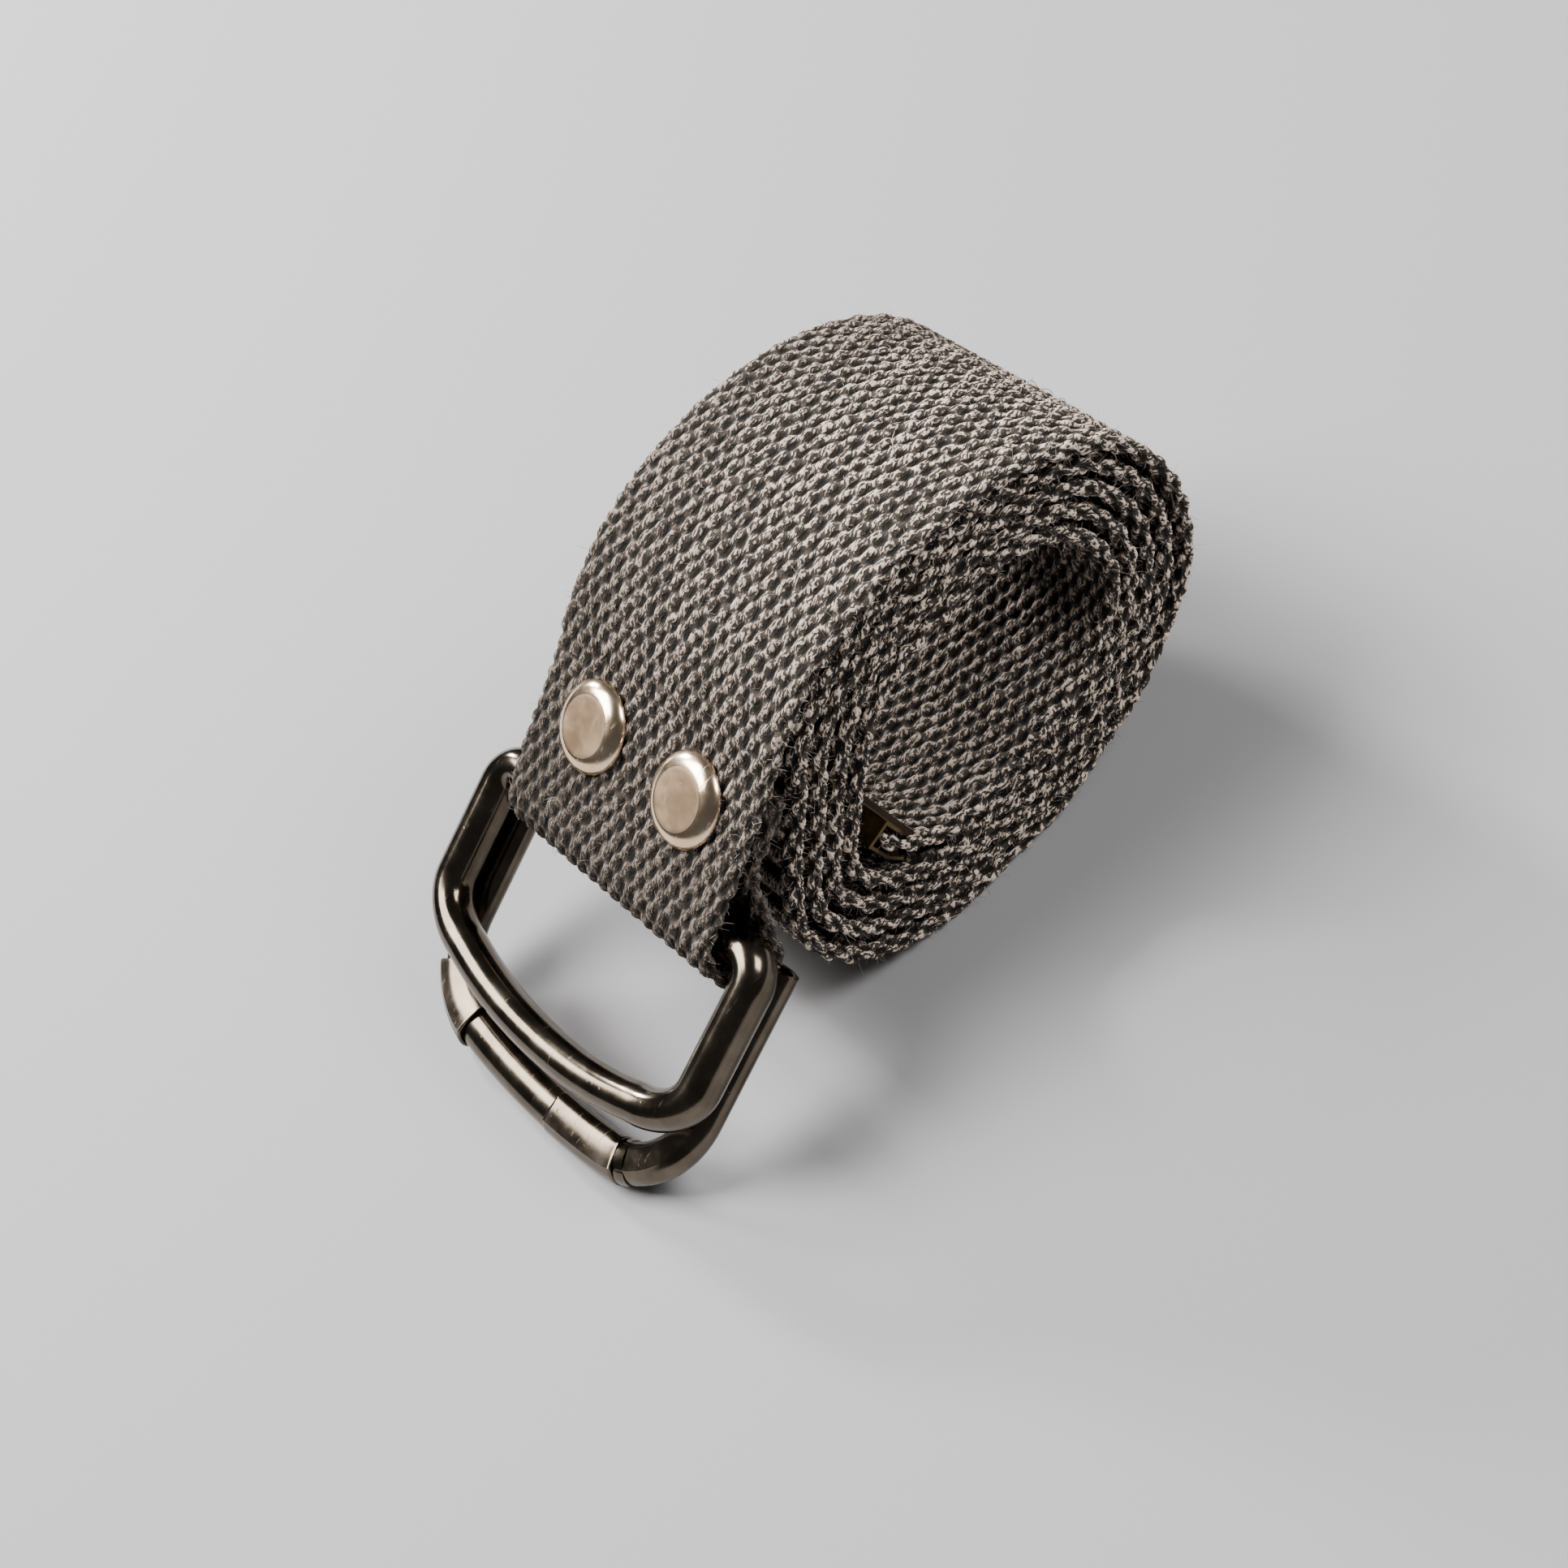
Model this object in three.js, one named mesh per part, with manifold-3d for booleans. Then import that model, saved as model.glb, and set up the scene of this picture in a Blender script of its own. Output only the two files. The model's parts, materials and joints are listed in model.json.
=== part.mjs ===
// A double ring belt of heavy webbing, rolled up, with its buckle resting in front of the roll.
// Millimetres, +Z up. X runs across the webbing and the buckle points towards -Y.

import * as THREE from 'three';
import * as BufferGeometryUtils from 'three/addons/utils/BufferGeometryUtils.js';
import Module from 'manifold-3d';

const wasm = await Module();
wasm.setup();

// Webbing
const strapWidth = 38;
const strapThickness = 2.1;
const layerGap = 0.35;
const turns = 5;
const stepsPerTurn = 40;

// The roll's radius towards the back. Its middle's height over the floor and its way behind
// the front ring's bar follow it, so that the roll lies on the floor and clear of the buckle.
const rollRadius = 32;
const middleHeight = 0.7875 * rollRadius;
const middleBehindBar = 1.178 * rollRadius;
const barBelowMiddle = 2.5;
const barHeight = middleHeight - barBelowMiddle;

// Front ring
const frontSideRoom = 2.7;
const frontInside = strapWidth + 2 * frontSideRoom;
const frontWire = 4.8;
const frontDepth = 5.2;
const frontReach = 25.9;
const frontBarCorner = 3.2;
const frontBowCorner = { across: 6.8, down: 4.8 };
const frontBow = 3.6;

// Back frame
const frameSideRoom = 1.5;
const frameInside = strapWidth + 2 * frameSideRoom;
const frameWidth = 4.8;
const frameDepth = 3.8;
const frameReach = 30.7;
const frameTail = 2.4;
const frameCorner = 10.5;
const frameBow = 1.6;
const frameWall = 0.7;
const frameHollow = 20;
const bowStep = 0.25;
const loopBar = 3;
const ringGap = 0.35;
const ringsToLeft = 0.8;

// How much nearer to the bow the back frame's bar lies than the front ring's bar
const barLead = 2.5;

// The bows between their corners, from the middle line to one side: places across as shares
// of the half width between the corners, heights as shares of the bow's rise over its shoulders
const frontBowLine = [
  { across: 0, rise: 1 },
  { across: 0.36, rise: 1 },
  { across: 0.66, rise: 0.82 },
  { across: 1, rise: 0.35 },
];
const frameBowLine = [
  { across: 0.41, rise: 1.2 },
  { across: 1, rise: 0.55 },
];

// Sleeves and tube ends on the back frame's bow, as shares of its inside width
const leftSleeve = { from: -0.517, to: -0.341, tubeEnd: -0.38 };
const rightSleeve = { from: 0.088, to: 0.38, tubeEnd: 0.39 };
const sleeveWall = 0.5;
const sleeveGap = 0.3;

// Rivets
const rivetCap = 10;
const rivetDome = 1.7;
const rivetRim = 0.5;
const rivetEdge = 0.15;
const rivetPost = 2.6;
const rivetBackCap = 5.2;
const rivetBackThickness = 0.6;
const rivetSpacing = 0.458 * strapWidth;
const rivetFromBar = 12;
const rivetGap = 0.3;

// Metal tip on the end of the webbing
const tipLength = 5;
const tipWall = 0.4;
const tipGap = 0.3;

// Loop round both bars
const loopGap = 0.3;
const leadAngle = 39.7;
const returnAngle = -10;
const leadStraight = 18;
const foldBackEnd = 16.9;
const foldBackBend = 9.6;
const foldHandle = 2.8;
const returnHandle = 8;

// Where the first turn takes over from the straight lead, and where the webbing's end lies
const meetsRoll = 148;
const tailAngle = -163;
const tailEase = 45;
const tailDrop = 1.6;

const rad = THREE.MathUtils.degToRad;

// Outer face of the first turn and of the second turn where it starts, as shares of the
// roll's radius, and the step from turn to turn as shares of the webbing with its gap.
// Angles go from the back of the roll, over its top, to the buckle.
const stations = [
  { angle: 170, first: 1.05, second: 0.838, step: 1.13 },
  { angle: 163, first: 0.995, second: 0.812, step: 1.13 },
  { angle: 148, first: 0.912, second: 0.8, step: 1.16 },
  { angle: 133, first: 0.858, second: 0.77, step: 1.14 },
  { angle: 118, first: 0.815, second: 0.733, step: 1.1 },
  { angle: 88, first: 0.8, second: 0.715, step: 1.1 },
  { angle: 58, first: 0.869, second: 0.787, step: 1.07 },
  { angle: 28, first: 0.984, second: 0.9, step: 1.1 },
  { angle: -2, first: 1, second: 0.917, step: 1.09 },
  { angle: -32, first: 0.869, second: 0.787, step: 1.1 },
  { angle: -47, first: 0.803, second: 0.721, step: 1.1 },
  { angle: -62, first: 0.768, second: 0.686, step: 1.1 },
  { angle: -77, first: 0.768, second: 0.686, step: 1.09 },
  { angle: -92, first: 0.788, second: 0.703, step: 1.09 },
  { angle: -107, first: 0.824, second: 0.735, step: 1.13 },
  { angle: -122, first: 0.925, second: 0.822, step: 1.15 },
  { angle: -137, first: 1.01, second: 0.905, step: 1.2 },
  { angle: -152, first: 1.058, second: 0.955, step: 1.25 },
  { angle: -162, first: 1.04, second: 0.945, step: 1.2 },
  { angle: -167, first: 1.013, second: 0.92, step: 1.17 },
  { angle: -182, first: 0.881, second: 0.79, step: 1.13 },
  { angle: -190, first: 0.838, second: 0.75, step: 1.13 },
];

// Materials
const webbingFinish = new THREE.MeshStandardMaterial({ color: 0x4a4440, roughness: 0.95, metalness: 0 });
const gunmetalFinish = new THREE.MeshStandardMaterial({ color: 0x4f463d, roughness: 0.22, metalness: 0.9 });
const paleGoldFinish = new THREE.MeshStandardMaterial({ color: 0xc7ad8c, roughness: 0.25, metalness: 0.9 });
const brassFinish = new THREE.MeshStandardMaterial({ color: 0xb08a4a, roughness: 0.3, metalness: 0.9 });

// Solids

function toSolid(geometry) {
  const bare = geometry.clone();
  bare.deleteAttribute('normal');
  bare.deleteAttribute('uv');
  const merged = BufferGeometryUtils.mergeVertices(bare, 1e-4);
  return new wasm.Manifold(new wasm.Mesh({
    numProp: 3,
    vertProperties: Float32Array.from(merged.attributes.position.array),
    triVerts: Uint32Array.from(merged.index.array),
  }));
}

function toGeometry(solid) {
  const mesh = solid.getMesh();
  const geometry = new THREE.BufferGeometry();
  geometry.setAttribute('position', new THREE.BufferAttribute(Float32Array.from(mesh.vertProperties), 3));
  geometry.setIndex(Array.from(mesh.triVerts));
  geometry.computeVertexNormals();
  return geometry;
}

function named(name, geometry, finish) {
  const mesh = new THREE.Mesh(geometry, finish);
  mesh.name = name;
  return mesh;
}

function ellipse(width, height) {
  const shape = new THREE.Shape();
  shape.absellipse(0, 0, width / 2, height / 2, 0, Math.PI * 2);
  return shape;
}

// A section pushed along a path that lies flat in the buckle's plane. Across the section, x
// points to the front of the buckle and y to the left of the way.
function sweep(section, path, steps) {
  return new THREE.ExtrudeGeometry(section, { steps, extrudePath: path, curveSegments: 8 });
}

class PartOfPath extends THREE.Curve {
  constructor(whole, from, to) {
    super();
    this.whole = whole;
    this.from = from;
    this.to = to;
  }

  getPoint(t, target = new THREE.Vector3()) {
    return target.copy(this.whole.getPointAt(this.from + (this.to - this.from) * t));
  }
}

// Paths

function flatPoint(across, along) {
  return new THREE.Vector3(across, along, 0);
}

function addLine(path, from, to) {
  path.add(new THREE.LineCurve3(from, to));
}

function addRound(path, from, corner, to) {
  const tight = 0.56;
  path.add(new THREE.CubicBezierCurve3(
    from,
    from.clone().lerp(corner, tight),
    to.clone().lerp(corner, tight),
    to,
  ));
}

// One half of the front ring, from the middle of its bar to the middle of its bow. Both ends
// run a little past the middle, where the other half meets them.
function frontHalf(side) {
  const half = (frontInside + frontWire) / 2;
  const shoulder = frontReach - frontWire / 2 - frontBow;
  const past = 0.2;
  const path = new THREE.CurvePath();
  const barEnd = flatPoint(side * (half - frontBarCorner), 0);
  const armStart = flatPoint(side * half, frontBarCorner);
  const armEnd = flatPoint(side * half, shoulder - frontBowCorner.down);
  const [top, nearTop, nearEnd, bowEnd] = frontBowLine.map((row) => flatPoint(
    side * row.across * (half - frontBowCorner.across),
    shoulder + row.rise * frontBow,
  ));
  addLine(path, flatPoint(-side * past, 0), barEnd);
  addRound(path, barEnd, flatPoint(side * half, 0), armStart);
  addLine(path, armStart, armEnd);
  addRound(path, armEnd, flatPoint(side * half, shoulder), bowEnd);
  path.add(new THREE.CubicBezierCurve3(bowEnd, nearEnd, nearTop, flatPoint(-side * past, top.y)));
  return path;
}

// The back frame's way: up its left arm, along the bow and down its right arm.
function framePath() {
  const half = (frameInside + frameWidth) / 2;
  const shoulder = frameReach - frameWidth / 2 - frameBow;
  const path = new THREE.CurvePath();
  const bow = [-1, 1].map((side) => frameBowLine.map((row) => flatPoint(
    side * row.across * (half - frameCorner),
    shoulder + row.rise * frameBow,
  )));
  const [[leftHandle, leftBow], [rightHandle, rightBow]] = bow;
  const leftArm = flatPoint(-half, shoulder - frameCorner);
  const rightArm = flatPoint(half, shoulder - frameCorner);
  addLine(path, flatPoint(-half, -frameTail), leftArm);
  addRound(path, leftArm, flatPoint(-half, shoulder), leftBow);
  path.add(new THREE.CubicBezierCurve3(leftBow, leftHandle, rightHandle, rightBow));
  addRound(path, rightBow, flatPoint(half, shoulder), rightArm);
  addLine(path, rightArm, flatPoint(half, -frameTail));
  return path;
}

// Where the frame's way crosses a place on its bow, as a share of the way. The place is given
// as a share of the frame's inside width from its middle.
function shareAcross(path, place) {
  const halvings = 40;
  let low = 0.2;
  let high = 0.8;
  for (let i = 0; i < halvings; i += 1) {
    const middle = (low + high) / 2;
    if (path.getPointAt(middle).x < place * frameInside) {
      low = middle;
    } else {
      high = middle;
    }
  }
  return (low + high) / 2;
}

// The frame's tube: a nearly flat front that ends in a crease near the outer edge, and a
// rounded back. Shares of half the depth and of half the width, grown by an even margin.
const tubeSection = [
  { front: 0.3, outer: -1 },
  { front: 0.72, outer: -0.72 },
  { front: 0.92, outer: -0.2 },
  { front: 1, outer: 0.38 },
  { front: 0.62, outer: 0.78 },
  { front: 0.1, outer: 1 },
  { front: -0.45, outer: 0.9 },
  { front: -0.85, outer: 0.5 },
  { front: -1, outer: 0 },
  { front: -0.85, outer: -0.5 },
  { front: -0.45, outer: -0.86 },
];

function frameSection(margin) {
  const across = frameWidth / 2 + margin;
  const deep = frameDepth / 2 + margin;
  return new THREE.Shape(tubeSection.map((row) => new THREE.Vector2(row.front * deep, row.outer * across)));
}

// Front ring

function buildFrontRing() {
  const section = ellipse(frontDepth, frontWire);
  const left = toSolid(sweep(section, frontHalf(-1), 44));
  const right = toSolid(sweep(section, frontHalf(1), 44));
  return toGeometry(left.add(right));
}

// Back frame: two hollow arms with rounded corners, joined by a slightly thinner round bar.

function bowSection(margin) {
  const thinner = 2 * (margin - bowStep);
  return ellipse(frameDepth + thinner, frameWidth + thinner);
}

function buildBackFrame() {
  const path = framePath();
  const left = shareAcross(path, leftSleeve.tubeEnd);
  const right = shareAcross(path, rightSleeve.tubeEnd);
  const overlap = 0.02;
  const hollow = frameHollow / path.getLength();
  const past = 0.01;
  const part = (section, from, to, steps) => toSolid(sweep(section, new PartOfPath(path, from, to), steps));
  const hole = new THREE.CylinderGeometry(
    loopBar / 2 + ringGap,
    loopBar / 2 + ringGap,
    frameInside + frameWidth,
    24,
  );
  hole.rotateZ(Math.PI / 2);
  return toGeometry(
    part(frameSection(0), 0, left, 30)
      .add(part(frameSection(0), right, 1, 30))
      .add(part(bowSection(0), left - overlap, right + overlap, 16))
      .subtract(part(frameSection(-frameWall), 0, hollow, 1).translate([0, -past, 0]))
      .subtract(part(frameSection(-frameWall), 1 - hollow, 1, 1).translate([0, -past, 0]))
      .subtract(toSolid(hole)),
  );
}

function buildLoopBar() {
  const length = frameInside + frameWidth;
  const geometry = new THREE.CylinderGeometry(loopBar / 2, loopBar / 2, length, 24);
  geometry.rotateZ(Math.PI / 2);
  return geometry;
}

function buildSleeve(place, section, hollow) {
  const path = framePath();
  const from = shareAcross(path, place.from);
  const to = shareAcross(path, place.to);
  const steps = 10;
  const past = 0.01;
  const outside = toSolid(sweep(section, new PartOfPath(path, from, to), steps));
  const inside = toSolid(sweep(hollow, new PartOfPath(path, from - past, to + past), steps + 2));
  return toGeometry(outside.subtract(inside));
}

// Webbing: the middle line of the strap in the roll's own plane, as points of Y and Z.

function onArc(centre, radius, angle) {
  return new THREE.Vector2(Math.cos(angle), Math.sin(angle)).multiplyScalar(radius).add(centre);
}

const bars = {
  front: new THREE.Vector2(0, barHeight),
  back: new THREE.Vector2(),
};
const middle = new THREE.Vector2(middleBehindBar, middleHeight);
const lead = onArc(new THREE.Vector2(), 1, rad(leadAngle));
const outward = new THREE.Vector2(-lead.y, lead.x);
const frontTurn = frontDepth / 2 + loopGap + strapThickness / 2;
const backTurn = loopBar / 2 + loopGap + strapThickness / 2;

function stationValue(angle, key) {
  const after = Math.max(1, stations.findIndex((row) => row.angle <= angle));
  const a = stations[after - 1];
  const b = stations[after];
  const before = stations[Math.max(0, after - 2)];
  const beyond = stations[Math.min(stations.length - 1, after + 1)];
  const width = b.angle - a.angle;
  const t = (angle - a.angle) / width;
  const slopeA = ((b[key] - before[key]) / (b.angle - before.angle)) * width;
  const slopeB = ((beyond[key] - a[key]) / (beyond.angle - a.angle)) * width;
  const t2 = t * t;
  const t3 = t2 * t;
  return (2 * t3 - 3 * t2 + 1) * a[key] + (t3 - 2 * t2 + t) * slopeA
    + (3 * t2 - 2 * t3) * b[key] + (t3 - t2) * slopeB;
}

function rollPoint(angle, turn) {
  const layer = strapThickness + layerGap;
  let outer = stationValue(angle, 'first') * rollRadius;
  if (turn > 0) {
    outer = stationValue(angle, 'second') * rollRadius - (turn - 1) * layer * stationValue(angle, 'step');
  }
  return onArc(middle, outer, rad(angle));
}

// The folded-back end lies under the first turn, then bends away towards the back bar.
function foldedEnd() {
  const underLead = frontTurn - strapThickness - rivetGap;
  const onFold = (along) => bars.front.clone()
    .addScaledVector(outward, underLead)
    .addScaledVector(lead, along);
  const bend = onFold(foldBackBend);
  const low = onArc(bars.back, backTurn, rad(returnAngle));
  const up = onArc(new THREE.Vector2(), returnHandle, rad(returnAngle + 90));
  const curve = new THREE.CubicBezierCurve(
    bend,
    bend.clone().addScaledVector(lead, -foldHandle),
    low.clone().add(up),
    low,
  );
  const steps = 14;
  return [onFold(foldBackEnd), onFold((foldBackEnd + foldBackBend) / 2), ...curve.getPoints(steps)];
}

function arcPoints(centre, radius, from, to, steps) {
  const points = [];
  for (let i = 1; i <= steps; i += 1) {
    points.push(onArc(centre, radius, from + ((to - from) * i) / steps));
  }
  return points;
}

// Round the back bar, then round the front ring's bar and straight up towards the roll
function roundBars() {
  const between = bars.front.clone().sub(bars.back);
  const spread = Math.asin((frontTurn - backTurn) / between.length());
  const tangent = between.angle() + spread + Math.PI / 2;
  const points = [
    ...arcPoints(bars.back, backTurn, rad(returnAngle) + 2 * Math.PI, tangent, 16),
    onArc(bars.front, frontTurn, tangent),
    ...arcPoints(bars.front, frontTurn, tangent, rad(leadAngle + 90), 12),
  ];
  const start = points[points.length - 1];
  const step = 2;
  for (let along = step; along <= leadStraight; along += step) {
    points.push(start.clone().addScaledVector(lead, along));
  }
  return points;
}

// The roll's outer face, turn after turn. Before the metal tip begins, the webbing eases away
// from the turn outside it, to make room for the tip.
function rollFace() {
  const face = [];
  const step = 360 / stepsPerTurn;
  const tailRadius = rollPoint(tailAngle, turns - 1).distanceTo(middle);
  const tipStart = tailAngle + THREE.MathUtils.radToDeg(tipLength / tailRadius);
  for (let turn = 0; turn < turns; turn += 1) {
    const from = turn === 0 ? meetsRoll : stations[0].angle;
    const to = turn === turns - 1 ? tailAngle : stations[0].angle - 360 + step;
    for (let i = 0; i <= Math.floor((from - to) / step); i += 1) {
      const angle = from - i * step;
      const point = rollPoint(angle, turn);
      if (turn === turns - 1 && angle < tipStart + tailEase) {
        const share = Math.min(1, (tipStart + tailEase - angle) / tailEase);
        const inward = middle.clone().sub(point).normalize();
        point.addScaledVector(inward, tailDrop * share * share * (3 - 2 * share));
      }
      if (turn === 0) {
        point.y = Math.max(point.y, 0);
      }
      face.push(point);
    }
  }
  return face;
}

function wayAt(points, i) {
  const next = points[Math.min(i + 1, points.length - 1)].clone();
  return next.sub(points[Math.max(i - 1, 0)]).normalize();
}

// The middle line from the folded-back end, round both bars and along the roll to the tip.
function strapLine(tilt) {
  bars.back.copy(onArc(onArc(bars.front, barSpacing, tilt - Math.PI / 2), barLead, tilt + Math.PI));
  const face = rollFace();
  const turned = face.map((point, i) => {
    const way = wayAt(face, i);
    return point.clone().add(new THREE.Vector2(way.y, -way.x).multiplyScalar(strapThickness / 2));
  });
  return [...foldedEnd(), ...roundBars(), ...turned];
}

function sidePoints(line, offset) {
  return line.map((point, i) => {
    const way = wayAt(line, i);
    return point.clone().add(new THREE.Vector2(-way.y, way.x).multiplyScalar(offset));
  });
}

// Brings a shape drawn in Y and Z, and pushed along the third axis, to its place across X.
function acrossBelt(geometry, width) {
  const basis = new THREE.Matrix4().makeBasis(
    new THREE.Vector3(0, 1, 0),
    new THREE.Vector3(0, 0, 1),
    new THREE.Vector3(1, 0, 0),
  );
  return geometry.translate(0, 0, -width / 2).applyMatrix4(basis);
}

function buildBand(line, thickness, width) {
  const outline = [...sidePoints(line, thickness / 2), ...sidePoints(line, -thickness / 2).reverse()];
  const settings = { depth: width, bevelEnabled: false };
  return acrossBelt(new THREE.ExtrudeGeometry(new THREE.Shape(outline), settings), width);
}

// Rivets, made upright about the point of their axis on the outer face of the webbing.

function buildRivet() {
  const head = rivetGap;
  const under = -(2 * strapThickness + 2 * rivetGap);
  const radius = rivetCap / 2;
  const profile = [
    new THREE.Vector2(0, under - rivetBackThickness),
    new THREE.Vector2(rivetBackCap / 2, under - rivetBackThickness),
    new THREE.Vector2(rivetBackCap / 2, under),
    new THREE.Vector2(rivetPost / 2, under),
    new THREE.Vector2(rivetPost / 2, head),
    new THREE.Vector2(radius - rivetEdge, head),
  ];
  const rows = 8;
  for (let i = 0; i < rows; i += 1) {
    const angle = (i / rows) * (Math.PI / 2);
    const height = head + rivetRim + (rivetDome - rivetRim) * Math.sin(angle);
    profile.push(new THREE.Vector2(radius * Math.cos(angle) ** 0.9, height));
  }
  profile.push(new THREE.Vector2(0, head + rivetDome));
  const geometry = new THREE.LatheGeometry(profile, 32);
  geometry.rotateX(Math.PI / 2);
  return toGeometry(toSolid(geometry));
}

function placeRivet(object, across) {
  const face = bars.front.clone()
    .addScaledVector(outward, frontTurn + strapThickness / 2)
    .addScaledVector(lead, rivetFromBar);
  object.rotation.x = rad(leadAngle);
  object.position.set(across, face.x, face.y);
  object.updateMatrix();
  return object;
}

function rivetHole(across) {
  const above = 0.4;
  const depth = 2 * strapThickness + 2 * rivetGap + 2 * above;
  const radius = rivetPost / 2 + rivetGap;
  const geometry = new THREE.CylinderGeometry(radius, radius, depth, 20);
  geometry.translate(0, above - depth / 2, 0);
  geometry.rotateX(Math.PI / 2);
  return geometry.applyMatrix4(placeRivet(new THREE.Object3D(), across).matrix);
}

function buildStrap(line) {
  let strap = toSolid(buildBand(line, strapThickness, strapWidth));
  [-1, 1].forEach((side) => {
    strap = strap.subtract(toSolid(rivetHole((side * rivetSpacing) / 2)));
  });
  return toGeometry(strap);
}

// The end of a line, as long as asked, measured back from its last point
function endOfLine(line, length) {
  const points = [line[line.length - 1]];
  let left = length;
  for (let i = line.length - 2; left > 0; i -= 1) {
    const gap = points[0].distanceTo(line[i]);
    points.unshift(gap < left ? line[i] : points[0].clone().lerp(line[i], left / gap));
    left -= gap;
  }
  return points;
}

// A folded metal strip over the end of the webbing.
function buildTip(line) {
  const past = 1;
  const held = endOfLine(line, tipLength);
  const beyond = (from, to, length) => to.clone().addScaledVector(to.clone().sub(from).normalize(), length);
  const before = beyond(held[1], held[0], past);
  const [nearEnd, end] = held.slice(-2);
  const outside = [...held, beyond(nearEnd, end, tipGap + tipWall)];
  const inside = [before, ...held, beyond(nearEnd, end, tipGap)];
  const cover = toSolid(buildBand(outside, strapThickness + 2 * (tipGap + tipWall), strapWidth));
  const room = toSolid(buildBand(inside, strapThickness + 2 * tipGap, strapWidth + 2 * past));
  return toGeometry(cover.subtract(room));
}

// The buckle leans down from the front bar until its lowest sleeve meets the floor.

const barSpacing = frontDepth / 2 + ringGap + frameDepth / 2;
const frontRing = buildFrontRing();
const backFrame = buildBackFrame().translate(0, barLead, barSpacing);
const sleeveOut = sleeveGap + sleeveWall;
const leftTab = buildSleeve(leftSleeve, frameSection(sleeveOut), frameSection(sleeveGap))
  .translate(0, barLead, barSpacing);
const rightTab = buildSleeve(rightSleeve, frameSection(sleeveOut - bowStep), bowSection(sleeveGap))
  .translate(0, barLead, barSpacing);
const backBar = buildLoopBar().translate(0, barLead, barSpacing);

function lowest(geometries, tilt) {
  let low = Infinity;
  geometries.forEach((geometry) => {
    const points = geometry.attributes.position;
    for (let i = 0; i < points.count; i += 1) {
      low = Math.min(low, -points.getY(i) * Math.sin(tilt) - points.getZ(i) * Math.cos(tilt));
    }
  });
  return low;
}

function leanToFloor() {
  const halvings = 40;
  let flat = 0;
  let steep = rad(60);
  for (let i = 0; i < halvings; i += 1) {
    const tilt = (flat + steep) / 2;
    if (barHeight + lowest([backFrame, leftTab, rightTab], tilt) > 0) {
      flat = tilt;
    } else {
      steep = tilt;
    }
  }
  return flat;
}

const tilt = leanToFloor();
const line = strapLine(tilt);

const buckle = new THREE.Group();
buckle.rotation.x = Math.PI + tilt;
buckle.position.set(-ringsToLeft, 0, barHeight);
buckle.add(named('front_ring', frontRing, gunmetalFinish));
buckle.add(named('back_frame', backFrame, gunmetalFinish));
buckle.add(named('back_bar', backBar, gunmetalFinish));
buckle.add(named('left_tab', leftTab, gunmetalFinish));
buckle.add(named('right_tab', rightTab, gunmetalFinish));

const belt = new THREE.Group();
belt.name = 'double_ring_belt';
belt.add(buckle);
belt.add(named('strap', buildStrap(line), webbingFinish));
belt.add(named('tail_tip', buildTip(line), brassFinish));
belt.add(placeRivet(named('rivet_left', buildRivet(), paleGoldFinish), -rivetSpacing / 2));
belt.add(placeRivet(named('rivet_right', buildRivet(), paleGoldFinish), rivetSpacing / 2));

// Standing on the floor, with the middle of its box over the origin
const bounds = new THREE.Box3().setFromObject(belt, true);
belt.position.set(-(bounds.min.x + bounds.max.x) / 2, -(bounds.min.y + bounds.max.y) / 2, -bounds.min.z);

export default belt;
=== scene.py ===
# %% [markdown]
# A double ring belt, rolled up
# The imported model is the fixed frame: every piece made here goes where its solids are. The heavy
# webbing gets its weave, its hairy selvedges and its yarns, and the buckle and the rivets get
# smooth plated metal.

# %% Load the frame
import json
import math

import bpy
import numpy as np
from mathutils import Matrix, Vector


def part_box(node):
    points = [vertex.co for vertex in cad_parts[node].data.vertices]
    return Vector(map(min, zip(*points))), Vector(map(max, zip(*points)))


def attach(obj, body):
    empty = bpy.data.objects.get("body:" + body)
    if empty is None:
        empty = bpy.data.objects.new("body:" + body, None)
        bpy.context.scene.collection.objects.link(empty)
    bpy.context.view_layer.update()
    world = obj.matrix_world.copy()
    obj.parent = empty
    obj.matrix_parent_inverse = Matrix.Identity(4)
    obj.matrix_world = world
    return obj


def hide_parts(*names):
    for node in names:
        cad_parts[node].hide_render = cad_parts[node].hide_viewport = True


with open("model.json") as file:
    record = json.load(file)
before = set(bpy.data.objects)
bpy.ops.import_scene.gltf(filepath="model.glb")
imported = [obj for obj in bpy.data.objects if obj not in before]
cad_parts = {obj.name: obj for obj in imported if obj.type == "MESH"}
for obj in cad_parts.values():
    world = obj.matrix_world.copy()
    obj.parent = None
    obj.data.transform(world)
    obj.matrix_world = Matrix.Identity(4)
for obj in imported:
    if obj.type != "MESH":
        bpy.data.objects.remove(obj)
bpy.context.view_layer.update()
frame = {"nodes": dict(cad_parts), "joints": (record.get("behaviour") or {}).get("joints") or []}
MM = 0.001

# %% [markdown]
# The camera
# The photograph looks down on the roll from its right-hand side, with the camera turned on its
# axis, so the belt seems to stand on one corner. A camera that is only aimed at a target stays
# upright, so this one gets a place, a view and an up direction, which together make its matrix.

# %% Camera
camera_at = Vector((204.3, -67.36, 242.67)) * MM
camera_forward = Vector((-0.65256, 0.20806, -0.72861)).normalized()
camera_up = Vector((-0.45569, 0.6605, 0.59673))
camera_lens = 63.19

camera_right = camera_forward.cross(camera_up).normalized()
camera_up = camera_right.cross(camera_forward)
camera_axes = Matrix((camera_right, camera_up, -camera_forward)).transposed()
bpy.ops.object.camera_add()
camera = bpy.context.object
camera.name = "camera"
camera.matrix_world = Matrix.Translation(camera_at) @ camera_axes.to_4x4()
camera.data.lens = camera_lens
camera.data.sensor_width = 36
camera.data.clip_start = 0.01
bpy.context.scene.camera = camera
print("camera distance, m:", round(camera_at.length, 3))

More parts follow.
